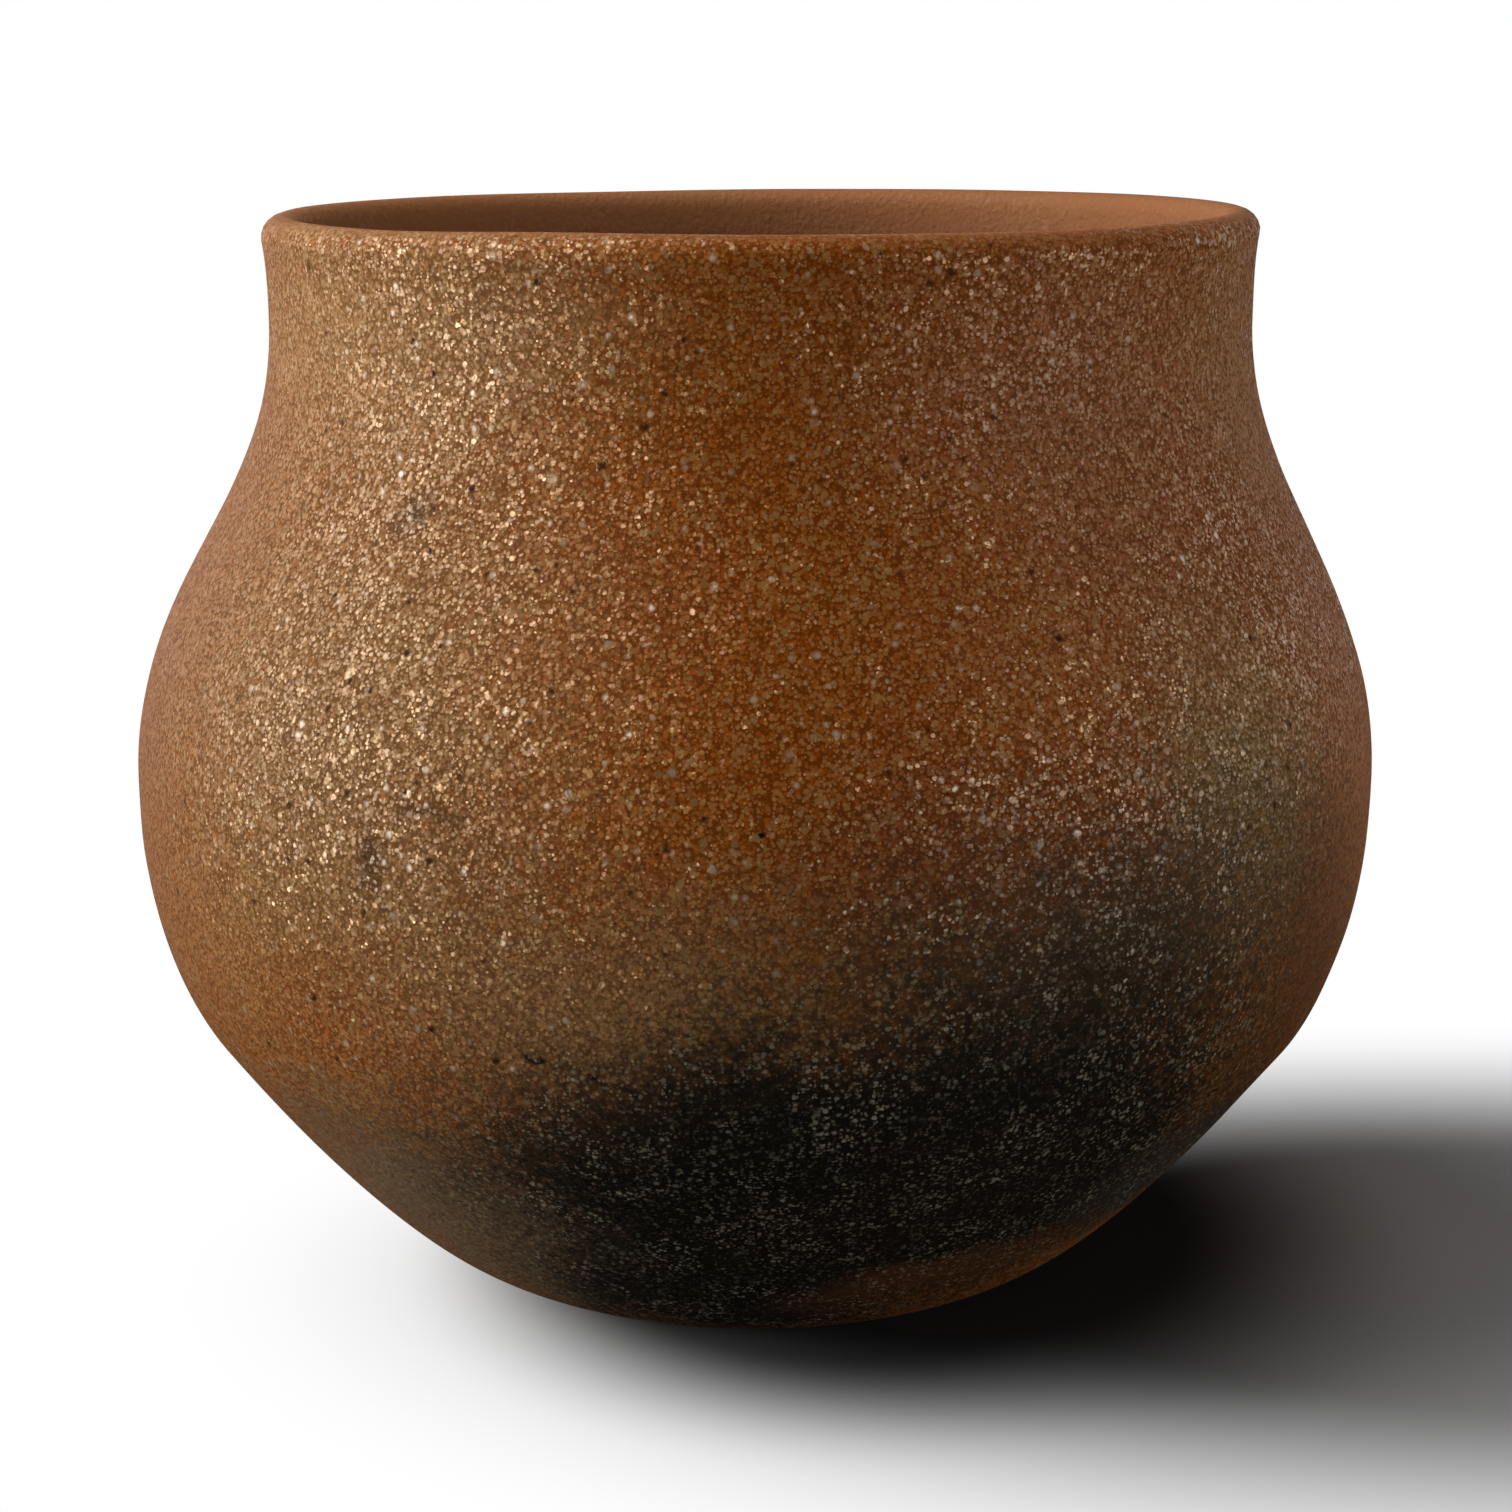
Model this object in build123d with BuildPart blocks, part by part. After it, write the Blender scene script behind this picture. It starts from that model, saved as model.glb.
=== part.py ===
from build123d import *
import os
from dataclasses import dataclass

# A coil-built clay olla: a base bowl pressed in a mould, wall coils lapped one on the next, and a rounded rim coil.
# The wall is drawn once, as a profile from the foot to the lip. Lapped joints divide the profile into the pieces
# that the potter makes, and each piece is its share of the profile turned about the pot's axis.
# Millimetres and degrees. The origin is the middle of the foot, and +Z is up.

os.makedirs("parts", exist_ok=True)

# Outer face of the pot, from the foot up
foot_diameter = 86.0  # flat patch that the pot stands on
bowl_diameter = 180.0  # edge of the moulded base bowl
bowl_depth = 42.0  # foot to the bowl's edge
bowl_lean = 37.0  # how far the wall leans out from upright at the bowl's edge
belly_diameter = 200.0  # widest girth
belly_rise = 40.0  # bowl's edge to the widest girth
waist_diameter = 156.0  # narrowest girth of the neck
neck_rise = 72.0  # widest girth to the waist
rim_diameter = 157.6  # where the outer face turns into the lip
rim_rise = 13.0  # waist to the lip
rim_flare = 9.0  # how far the neck leans out at the lip

# How far the wall holds its direction before it bends, below and above each girth
foot_reach = 15.0
bowl_reach_below = 15.5
bowl_reach_above = 4.0
belly_reach_below = 23.5
belly_reach_above = 32.0
waist_reach_below = 29.0
waist_reach_above = 4.0
rim_reach = 5.0

# Thickness of the clay
floor_thickness = 8.0
wall_thickness = 6.8
lip_thickness = 6.6

# Coils of clay, and the slope of the lap where each one hangs over the inside of the one below
belly_coils = 3
shoulder_coils = 5
joint_bevel = 35.0
joint_overrun = 12.0  # how far a joint line is drawn past both faces of the wall, so that it cuts right through

ORIGIN = Vector(0, 0)
UPRIGHT = Vector(0, 1)
QUARTER_TURN = 90.0


@dataclass
class Girth:
    """A level at which the wall's place, direction and thickness are set.

    Attributes:
        diameter: diameter of the outer face.
        level: height of the outer face above the foot.
        lean: angle by which the wall leans outward from upright.
        thickness: thickness of the clay, square to the wall.
    """

    diameter: float
    level: float
    lean: float
    thickness: float

    @property
    def way(self) -> Vector:
        """Direction of the wall, going up and outward."""
        return UPRIGHT.rotate(Axis.Z, -self.lean)

    @property
    def outer(self) -> Vector:
        """Point of the profile on the outer face."""
        return Vector(self.diameter / 2, self.level)

    @property
    def inner(self) -> Vector:
        """Point of the profile on the inner face, square across the wall."""
        return self.outer + self.way.rotate(Axis.Z, QUARTER_TURN) * self.thickness


@dataclass
class Joint:
    """A lapped joint between two pieces, as a line drawn across the wall's profile.

    Attributes:
        outside: end of the line clear of the outer face.
        inside: end of the line clear of the inner face, lower down than the outer end would be if square.
    """

    outside: Vector
    inside: Vector


def outer_run(below: Girth, above: Girth, reach_below: float, reach_above: float) -> Edge:
    """Draws the outer face between two girths as one smooth curve."""
    return Bezier(
        below.outer,
        below.outer + below.way * reach_below,
        above.outer - above.way * reach_above,
        above.outer,
    )


def inner_run(below: Girth, above: Girth, reach_below: float, reach_above: float) -> Edge:
    """Draws the inner face between two girths, with the outer curve's reaches in proportion to its shorter chord."""
    share = (above.inner - below.inner).length / (above.outer - below.outer).length
    return Bezier(
        below.inner,
        below.inner + below.way * reach_below * share,
        above.inner - above.way * reach_above * share,
        above.inner,
    )


def lapped_joint(face: Edge, share: float) -> Joint:
    """Draws the joint line that crosses the wall at a share of the length of one run of the outer face."""
    crossing = face @ share
    slope = (face % share).rotate(Axis.Z, QUARTER_TURN + joint_bevel)
    return Joint(crossing - slope * joint_overrun, crossing + slope * (wall_thickness + joint_overrun))


# Girths of the pot
foot = Girth(foot_diameter, 0, QUARTER_TURN, floor_thickness)
bowl_edge = Girth(bowl_diameter, bowl_depth, bowl_lean, wall_thickness)
belly = Girth(belly_diameter, bowl_edge.level + belly_rise, 0, wall_thickness)
waist = Girth(waist_diameter, belly.level + neck_rise, 0, wall_thickness)
rim = Girth(rim_diameter, waist.level + rim_rise, rim_flare, lip_thickness)

bowl_run = (foot, bowl_edge, foot_reach, bowl_reach_below)
belly_run = (bowl_edge, belly, bowl_reach_above, belly_reach_below)
shoulder_run = (belly, waist, belly_reach_above, waist_reach_below)
rim_run = (waist, rim, waist_reach_above, rim_reach)

# Profile of the whole wall, in its own plane: X is the distance from the axis and Y the height
with BuildSketch() as wall:
    with BuildLine():
        outer_run(*bowl_run)
        belly_face = outer_run(*belly_run)
        shoulder_face = outer_run(*shoulder_run)
        rim_face = outer_run(*rim_run)
        TangentArc(rim.outer, rim.inner, tangent=rim.way)
        for run in (rim_run, shoulder_run, belly_run, bowl_run):
            inner_run(*run)
        Polyline(foot.inner, (0, foot.inner.Y), ORIGIN, foot.outer)
    make_face()

# Joints, from the bowl's edge up to the waist
joints = [lapped_joint(belly_face, coil / belly_coils) for coil in range(belly_coils)]
joints += [lapped_joint(shoulder_face, coil / shoulder_coils) for coil in range(shoulder_coils)]
joints.append(lapped_joint(rim_face, 0))

# Base bowl: floor and flank, up to the first joint
with BuildPart() as base_bowl:
    with BuildSketch(Plane.XZ):
        add(wall.sketch)
        Polygon(
            (0, -joint_overrun),
            (joints[0].outside.X, -joint_overrun),
            joints[0].outside,
            joints[0].inside,
            (0, joints[0].inside.Y),
            align=None,
            mode=Mode.INTERSECT,
        )
    revolve(axis=Axis.Z)
base_bowl.part.label = "base_bowl"
export_step(base_bowl.part, "parts/base_bowl.step")

# Wall coils: each is the profile between its own joint and the next one up
coil_names = [f"belly_coil_{coil + 1}" for coil in range(belly_coils)]
coil_names += [f"shoulder_coil_{coil + 1}" for coil in range(shoulder_coils)]
for coil_name, lower, upper in zip(coil_names, joints, joints[1:]):
    with BuildPart() as wall_coil:
        with BuildSketch(Plane.XZ):
            add(wall.sketch)
            Polygon(lower.outside, lower.inside, upper.inside, upper.outside, align=None, mode=Mode.INTERSECT)
        revolve(axis=Axis.Z)
    wall_coil.part.label = coil_name
    export_step(wall_coil.part, f"parts/{coil_name}.step")

# Rim coil: the flared neck above the last joint, with its rounded lip
crown_level = rim.level + lip_thickness + joint_overrun
with BuildPart() as rim_coil:
    with BuildSketch(Plane.XZ):
        add(wall.sketch)
        Polygon(
            joints[-1].outside,
            joints[-1].inside,
            (joints[-1].inside.X, crown_level),
            (joints[-1].outside.X, crown_level),
            align=None,
            mode=Mode.INTERSECT,
        )
    revolve(axis=Axis.Z)
rim_coil.part.label = "rim_coil"
export_step(rim_coil.part, "parts/rim_coil.step")
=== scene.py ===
import logging
import math
from dataclasses import dataclass, field
from enum import Enum
from typing import Any

import bpy
import numpy as np
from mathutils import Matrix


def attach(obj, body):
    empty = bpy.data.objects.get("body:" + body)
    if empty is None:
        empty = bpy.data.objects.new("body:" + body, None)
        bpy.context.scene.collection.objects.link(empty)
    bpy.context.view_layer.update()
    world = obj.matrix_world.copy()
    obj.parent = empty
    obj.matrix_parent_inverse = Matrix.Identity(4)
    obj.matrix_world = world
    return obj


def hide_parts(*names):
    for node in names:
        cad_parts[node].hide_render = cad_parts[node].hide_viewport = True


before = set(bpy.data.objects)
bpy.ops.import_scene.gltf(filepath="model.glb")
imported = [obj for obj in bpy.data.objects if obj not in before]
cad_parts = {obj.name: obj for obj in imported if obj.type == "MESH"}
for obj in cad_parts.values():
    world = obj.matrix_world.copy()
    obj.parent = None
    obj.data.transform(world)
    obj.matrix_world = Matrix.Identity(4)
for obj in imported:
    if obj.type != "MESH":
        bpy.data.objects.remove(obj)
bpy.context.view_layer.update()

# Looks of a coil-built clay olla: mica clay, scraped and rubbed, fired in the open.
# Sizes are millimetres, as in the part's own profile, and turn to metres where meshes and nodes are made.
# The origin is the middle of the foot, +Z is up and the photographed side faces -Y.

MM = 0.001
BODY = "root"
RUBBED = "rubbed"
LOG = logging.getLogger("olla")
MIDDLE = (0.5, 0.5, 0.5)
# Settings that many nodes share
SMOOTH = {"interpolation_type": "SMOOTHSTEP"}
COLOURS = {"data_type": "RGBA"}
Span = tuple[float, float]
Tree = bpy.types.NodeTree
# What feeds a socket: another socket, or a node's first output in use
Feed = bpy.types.Node | bpy.types.NodeSocket


def linear(code: str) -> tuple[float, float, float, float]:
    """Turns an sRGB colour into linear light.

    Args:
        code: six hex digits after a hash mark.

    Returns:
        Linear red, green and blue, with alpha 1.
    """
    shares = [int(code[at:at + 2], 16) / 255 for at in (1, 3, 5)]
    light = [c / 12.92 if c <= 0.04045 else ((c + 0.055) / 1.055) ** 2.4 for c in shares]
    return (light[0], light[1], light[2], 1.0)


def add_node(tree: Tree, kind: str, inputs: dict | list | tuple = (), **settings: Any) -> bpy.types.Node:
    """Adds one node to a tree.

    Args:
        tree: the node tree.
        kind: the node's class name, without what all of them start with.
        inputs: a value or a feed for each socket, in order or by the socket's name or number.
        settings: the node's own properties.

    Returns:
        The new node.
    """
    node = tree.nodes.new(f"ShaderNode{kind}")
    for name, value in settings.items():
        setattr(node, name, value)
    for socket, value in inputs.items() if isinstance(inputs, dict) else enumerate(inputs):
        if isinstance(value, bpy.types.Node):
            value = next(output for output in value.outputs if output.enabled)
        if isinstance(value, bpy.types.NodeSocket):
            tree.links.new(value, node.inputs[socket])
        else:
            node.inputs[socket].default_value = value
    return node


def ease(value: np.ndarray, low: float, high: float) -> np.ndarray:
    """Rises smoothly from 0 to 1.

    Args:
        value: the values to judge.
        low: value that gives 0.
        high: value that gives 1.

    Returns:
        Shares from 0 to 1.
    """
    share = np.clip((value - low) / (high - low), 0.0, 1.0)
    return share * share * (3 - 2 * share)


def swell(turn: np.ndarray, rise: np.ndarray, around: int, up: int, seed: int) -> np.ndarray:
    """Makes slow unevenness that closes on itself around the pot.

    Args:
        turn: place around the axis, 0 to 1.
        rise: place up the wall, 0 to 1.
        around: number of swells around the pot.
        up: number of swells up the wall.
        seed: seed of the random lattice.

    Returns:
        Heights from -1 to 1, of the shape of turn and rise together.
    """
    lattice = np.random.default_rng(seed).uniform(-1, 1, (up + 2, around))
    x = (turn % 1.0) * around
    y = np.clip(rise, 0.0, 1.0) * up
    column = np.floor(x).astype(int)
    row = np.floor(y).astype(int)
    across = ease(x - column, 0.0, 1.0)
    upward = ease(y - row, 0.0, 1.0)
    left, right = column % around, (column + 1) % around
    low = lattice[row, left] * (1 - across) + lattice[row, right] * across
    high = lattice[row + 1, left] * (1 - across) + lattice[row + 1, right] * across
    return low * (1 - upward) + high * upward


@dataclass(frozen=True)
class Girth:
    """A level at which the wall's place, direction and thickness are set, as in the part's source.

    Attributes:
        radius, level: radius and height of the outer face.
        lean: degrees by which the wall leans out from upright.
        thickness: thickness of the clay, square to the wall.
    """

    radius: float
    level: float
    lean: float
    thickness: float

    @property
    def way(self) -> np.ndarray:
        """Direction of the wall, going up and outward."""
        return np.array([math.sin(math.radians(self.lean)), math.cos(math.radians(self.lean))])

    def face(self, inside: bool) -> np.ndarray:
        """Finds the point of the profile on one face.

        Args:
            inside: True for the inner face.

        Returns:
            Distance from the axis and height.
        """
        across = np.array([-self.way[1], self.way[0]]) * self.thickness
        return np.array([self.radius, self.level]) + across * inside


@dataclass
class WallLine:
    """One face of the wall's profile, measured along its length.

    Attributes:
        points: closely spaced points, distance from the axis and height.
        runs: distance of each point along the line.
    """

    points: np.ndarray
    runs: np.ndarray = field(init=False)

    def __post_init__(self) -> None:
        """Measures how far along the line each point lies."""
        steps = np.linalg.norm(np.diff(self.points, axis=0), axis=1)
        self.runs = np.concatenate([[0.0], np.cumsum(steps)])

    def at(self, runs: np.ndarray) -> np.ndarray:
        """Finds points along the line.

        Args:
            runs: distances along it.

        Returns:
            A point for each distance.
        """
        return np.stack([np.interp(runs, self.runs, self.points[:, axis]) for axis in (0, 1)], axis=-1)

    def spaced(self, stations: list[float], step: float) -> tuple[np.ndarray, list[int]]:
        """Divides the line evenly between stations.

        Args:
            stations: distances along the line that must fall on a row.
            step: widest space between rows.

        Returns:
            The rows, and the number of the row at each station.
        """
        rows = [self.at(np.array(stations[:1]))]
        marks = [0]
        for start, end in zip(stations, stations[1:]):
            count = max(1, math.ceil((end - start) / step))
            rows.append(self.at(np.linspace(start, end, count + 1)[1:]))
            marks.append(marks[-1] + count)
        return np.concatenate(rows), marks


@dataclass
class PotProfile:
    """The pot's profile and its lapped joints, with the part's own sizes.

    Attributes:
        foot, bowl_edge, belly, waist, rim: the girths, from the foot up.
        reaches: how far each run of the wall holds its direction, at its lower and its upper end.
        belly_coils, shoulder_coils: number of coils up to the belly, and from there to the waist.
        joint_bevel: degrees by which the joints slope from square to the wall.
        samples: number of points on each run.
        probe: distance to either side of a joint over which the wall's direction is taken.
    """

    foot: Girth = Girth(43.0, 0.0, 90.0, 8.0)
    bowl_edge: Girth = Girth(90.0, 42.0, 37.0, 6.8)
    belly: Girth = Girth(100.0, 82.0, 0.0, 6.8)
    waist: Girth = Girth(78.0, 154.0, 0.0, 6.8)
    rim: Girth = Girth(78.8, 167.0, 9.0, 6.6)
    reaches: tuple[Span, ...] = ((15.0, 15.5), (4.0, 23.5), (32.0, 29.0), (4.0, 5.0))
    belly_coils: int = 3
    shoulder_coils: int = 5
    joint_bevel: float = 35.0
    samples: int = 400
    probe: float = 0.05

    @property
    def girths(self) -> list[Girth]:
        """The girths, from the foot up."""
        return [self.foot, self.bowl_edge, self.belly, self.waist, self.rim]

    @property
    def nodes(self) -> list[str]:
        """Names of the part's pieces, from the base up."""
        belly = [f"belly_coil_{coil + 1}" for coil in range(self.belly_coils)]
        shoulder = [f"shoulder_coil_{coil + 1}" for coil in range(self.shoulder_coils)]
        return ["base_bowl", *belly, *shoulder, "rim_coil"]

    def run(self, number: int, inside: bool) -> np.ndarray:
        """Draws one face of the wall between two girths.

        Args:
            number: which run, counted from the foot.
            inside: True for the inner face.

        Returns:
            Points of a cubic curve that leaves and meets the girths in the wall's direction.
        """
        below, above = self.girths[number], self.girths[number + 1]
        start, end = below.face(inside), above.face(inside)
        share = np.linalg.norm(end - start) / np.linalg.norm(above.face(False) - below.face(False))
        first = start + below.way * self.reaches[number][0] * share
        last = end - above.way * self.reaches[number][1] * share
        t = np.linspace(0.0, 1.0, self.samples)[:, None]
        s = 1 - t
        return start * s ** 3 + 3 * first * t * s ** 2 + 3 * last * t ** 2 * s + end * t ** 3

    def line(self, inside: bool) -> WallLine:
        """Draws a whole face of the wall, from the edge of the foot or floor to the lip.

        Args:
            inside: True for the inner face.

        Returns:
            The line of that face.
        """
        runs = [self.run(number, inside) for number in range(len(self.reaches))]
        return WallLine(np.concatenate([runs[0]] + [run[1:] for run in runs[1:]]))

    def lip(self, step: float) -> np.ndarray:
        """Draws the rounded lip, from the outer face over to the inner one, without its ends.

        Args:
            step: widest space between points.

        Returns:
            The points of the lip.
        """
        outer, inner = self.rim.face(False), self.rim.face(True)
        middle, radius = (outer + inner) / 2, self.rim.thickness / 2
        count = math.ceil(math.pi * radius / step)
        angles = np.linspace(0.0, math.pi, count + 1)[1:-1] - math.radians(self.rim.lean)
        return middle + radius * np.stack([np.cos(angles), np.sin(angles)], axis=-1)

    def joints(self) -> tuple[list[float], list[float]]:
        """Finds where the lapped joints cross the two faces.

        Returns:
            Distances along the outer line and along the inner line, from the bowl's edge up.
        """
        outer, inner = self.line(False), self.line(True)
        ends = [outer.runs[(self.samples - 1) * number] for number in range(len(self.reaches) + 1)]
        crossings = list(np.linspace(ends[1], ends[2], self.belly_coils, endpoint=False))
        crossings += list(np.linspace(ends[2], ends[3], self.shoulder_coils + 1))
        meets = []
        bevel = math.radians(90.0 + self.joint_bevel)
        turn = np.array([[math.cos(bevel), -math.sin(bevel)], [math.sin(bevel), math.cos(bevel)]])
        for crossing in crossings:
            before, place, after = outer.at(crossing + np.array([-self.probe, 0.0, self.probe]))
            slope = turn @ (after - before)
            offset = inner.points - place
            side = offset[:, 0] * slope[1] - offset[:, 1] * slope[0]
            near = np.linalg.norm(offset, axis=1) < 2 * self.belly.thickness
            hit = np.nonzero(near[:-1] & (np.sign(side[:-1]) != np.sign(side[1:])))[0][0]
            share = side[hit] / (side[hit] - side[hit + 1])
            meets.append(inner.runs[hit] + share * (inner.runs[hit + 1] - inner.runs[hit]))
        return crossings, meets


@dataclass(frozen=True)
class HandMarks:
    """How far the hand-built wall strays from a turned one.

    Attributes:
        rim_shift: how far the mouth stands to the right of the foot.
        rim_tilt: how much higher the lip is at the right side than in the middle.
        rim_wave: rise and fall of the lip.
        sway: slow swells of the whole wall.
        scrape: shorter swells left by scraping, on the outer face.
        sway_grid, scrape_grid, wave_grid: number of those swells around and up, and their seed.
        clear: heights between which the swells grow from nothing, so that the foot stays flat.
        mouth_from: where the mouth's shift starts, as a share of the rim's level.
    """

    rim_shift: float = 0.8
    rim_tilt: float = 0.35
    rim_wave: float = 0.3
    sway: float = 0.35
    scrape: float = 0.12
    sway_grid: tuple[int, int, int] = (7, 5, 11)
    scrape_grid: tuple[int, int, int] = (46, 19, 23)
    wave_grid: tuple[int, int, int] = (13, 1, 5)
    clear: Span = (2.0, 20.0)
    mouth_from: float = 0.55


@dataclass
class ClaySkin:
    """The pot's whole surface as one grid of rows, from the middle of the foot over the lip to the floor.

    Attributes:
        profile: the pot's profile.
        marks: unevenness of the hand-built wall.
        step: widest space between rows.
        columns: number of points around the pot.
        hub: radius at which the foot and the floor close to a point.
        disc_step: space between the rows of the flat foot and floor.
        rub_rows: rows from the lip's crest between which scraped clay turns into rubbed clay.
        points: places in metres, rows by columns.
        normals: facing of the surface at each point.
        rubbed: 1 on the rows that are rubbed smooth and 0 on those that are scraped.
        outer_joints, inner_joints: rows where the joints meet each face, from the bowl's edge up.
    """

    profile: PotProfile
    marks: HandMarks = HandMarks()
    step: float = 1.1
    columns: int = 560
    hub: float = 3.0
    disc_step: float = 2.5
    rub_rows: Span = (-3.4, 1.4)
    points: np.ndarray = field(init=False)
    normals: np.ndarray = field(init=False)
    rubbed: np.ndarray = field(init=False)
    outer_joints: list[int] = field(init=False)
    inner_joints: list[int] = field(init=False)

    def __post_init__(self) -> None:
        """Lays out the rows, turns them about the axis and adds the hand's marks."""
        outer, inner = self.profile.line(False), self.profile.line(True)
        crossings, meets = self.profile.joints()
        up, outer_marks = outer.spaced([0.0, *crossings, outer.runs[-1]], self.step)
        down, inner_marks = inner.spaced([0.0, *meets, inner.runs[-1]], self.step)
        foot = self.disc(outer.points[0])
        floor = self.disc(inner.points[0])
        rows = np.concatenate([foot, up, self.profile.lip(self.step), down[::-1], floor[::-1]])
        last = len(rows) - 1 - len(floor)
        self.outer_joints = [len(foot) + mark for mark in outer_marks[1:-1]]
        self.inner_joints = [last - mark for mark in inner_marks[1:-1]]
        self.points = self.shaped(rows, len(foot) + len(up)) * MM
        crest = np.argmax(rows[:, 1])
        self.rubbed = ease(np.arange(len(rows)) - crest, *self.rub_rows)
        self.normals = self.facing()

    def disc(self, edge: np.ndarray) -> np.ndarray:
        """Lays out the rows of a flat disc, from its hub out to just inside its edge.

        Args:
            edge: point of the profile at the disc's edge.

        Returns:
            The rows.
        """
        count = math.ceil((edge[0] - self.hub) / self.disc_step)
        radii = np.linspace(self.hub, edge[0], count + 1)[:-1]
        return np.stack([radii, np.full(count, edge[1])], axis=-1)

    def shaped(self, rows: np.ndarray, outer_rows: int) -> np.ndarray:
        """Turns the profile about the axis and adds the hand's marks.

        Args:
            rows: the profile's rows.
            outer_rows: how many of them, from the first, lie on the outer face.

        Returns:
            Points in millimetres, rows by columns.
        """
        turn = np.arange(self.columns)[None, :] / self.columns
        angle = turn * 2 * math.pi
        radius, level = rows[:, :1], rows[:, 1:]
        top = self.profile.rim.level
        rise = level / top
        raised = ease(level, *self.marks.clear)
        mouth = ease(level, self.marks.mouth_from * top, top)
        outside = (np.arange(len(rows)) < outer_rows)[:, None]
        sway = self.marks.sway * swell(turn, rise, *self.marks.sway_grid) * raised
        scrape = self.marks.scrape * swell(turn, rise, *self.marks.scrape_grid) * raised * outside
        reach = radius + (sway + scrape)
        x = reach * np.cos(angle) + self.marks.rim_shift * mouth
        y = reach * np.sin(angle)
        wave = self.marks.rim_wave * swell(turn, np.zeros_like(turn), *self.marks.wave_grid)
        z = level + mouth * (wave + self.marks.rim_tilt * np.cos(angle))
        return np.stack(np.broadcast_arrays(x, y, z), axis=-1)

    def facing(self) -> np.ndarray:
        """Finds the facing of the whole surface, so that shading runs on across the joints.

        Returns:
            Normals, rows by columns.
        """
        around = np.roll(self.points, -1, axis=1) - np.roll(self.points, 1, axis=1)
        along = np.gradient(self.points, axis=0)
        normals = np.cross(around, along)
        return normals / np.linalg.norm(normals, axis=-1, keepdims=True)

    def rows_of(self, piece: int) -> tuple[list[int], bool]:
        """Finds the rows that close round one piece of the wall.

        Args:
            piece: the piece's number, from the base up.

        Returns:
            Row numbers in order round the piece's section, and whether they close on themselves.
        """
        if piece == 0:
            return [*range(self.outer_joints[0] + 1), *range(self.inner_joints[0], len(self.points))], False
        low_out, low_in = self.outer_joints[piece - 1], self.inner_joints[piece - 1]
        if piece == len(self.outer_joints):
            return list(range(low_out, low_in + 1)), True
        high_out, high_in = self.outer_joints[piece], self.inner_joints[piece]
        return [*range(low_out, high_out + 1), *range(high_in, low_in + 1)], True


@dataclass
class OllaWall:
    """The pot itself: one closed mesh for each piece of clay.

    Attributes:
        skin: the pot's whole surface.
        finish: material of the clay.
    """

    skin: ClaySkin
    finish: bpy.types.Material

    def build(self) -> list[bpy.types.Object]:
        """Builds and dresses every piece.

        Returns:
            The pieces, from the base up.
        """
        pieces = []
        for number, node in enumerate(self.skin.profile.nodes):
            piece = self.build_piece(number, f"{node}_clay")
            self.dress(piece, node)
            pieces.append(piece)
        return pieces

    def build_piece(self, number: int, name: str) -> bpy.types.Object:
        """Builds one piece as a closed mesh whose shading runs on into its neighbours.

        Args:
            number: the piece's number, from the base up.
            name: the piece's name.

        Returns:
            The new object.
        """
        rows, closes = self.skin.rows_of(number)
        columns = self.skin.columns
        grid = np.arange(len(rows) * columns).reshape(len(rows), columns)
        below = grid if closes else grid[:-1]
        above = np.roll(grid, -1, axis=0) if closes else grid[1:]
        beside = np.roll(below, -1, axis=1), np.roll(above, -1, axis=1)
        quads = np.stack([below, beside[0], beside[1], above], axis=-1).reshape(-1, 4)
        points = self.skin.points[rows].reshape(-1, 3)
        faces = quads.tolist()
        if not closes:
            middles = self.skin.points[[rows[0], rows[-1]]].mean(axis=1)
            foot_hub, floor_hub = len(points), len(points) + 1
            points = np.concatenate([points, middles])
            faces += [[foot_hub, (at + 1) % columns, at] for at in range(columns)]
            ring = grid[-1]
            faces += [[ring[at], ring[(at + 1) % columns], floor_hub] for at in range(columns)]
        mesh = bpy.data.meshes.new(name)
        mesh.from_pydata(points.tolist(), [], faces)
        jumps = np.array([abs(b - a) > 1 for a, b in zip(rows, rows[1:] + rows[:1])])
        jumps = jumps if closes else jumps[:-1]
        smooth = np.ones(len(faces), dtype=bool)
        smooth[:len(quads)] = ~np.repeat(jumps, columns)
        mesh.polygons.foreach_set("use_smooth", smooth)
        facing = self.skin.normals[rows].reshape(-1, 3)
        corners = np.zeros((len(mesh.loops), 3))
        corners[:quads.size] = facing[quads.reshape(-1)]
        corners[:quads.size][np.repeat(~smooth[:len(quads)], 4)] = 0.0
        mesh.normals_split_custom_set(corners.tolist())
        rubbed = np.ones(len(points))
        rubbed[:len(rows) * columns] = np.repeat(self.skin.rubbed[rows], columns)
        mesh.attributes.new(RUBBED, "FLOAT", "POINT").data.foreach_set("value", rubbed)
        piece = bpy.data.objects.new(name, mesh)
        bpy.context.scene.collection.objects.link(piece)
        return piece

    def dress(self, piece: bpy.types.Object, node: str) -> None:
        """Gives a piece its finish and sets it in place of its part.

        Args:
            piece: the piece.
            node: name of the part that it stands for.
        """
        piece.data.materials.append(self.finish)
        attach(piece, BODY)
        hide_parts(node)
        LOG.info("%s: %d faces", piece.name, len(piece.data.polygons))


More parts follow.
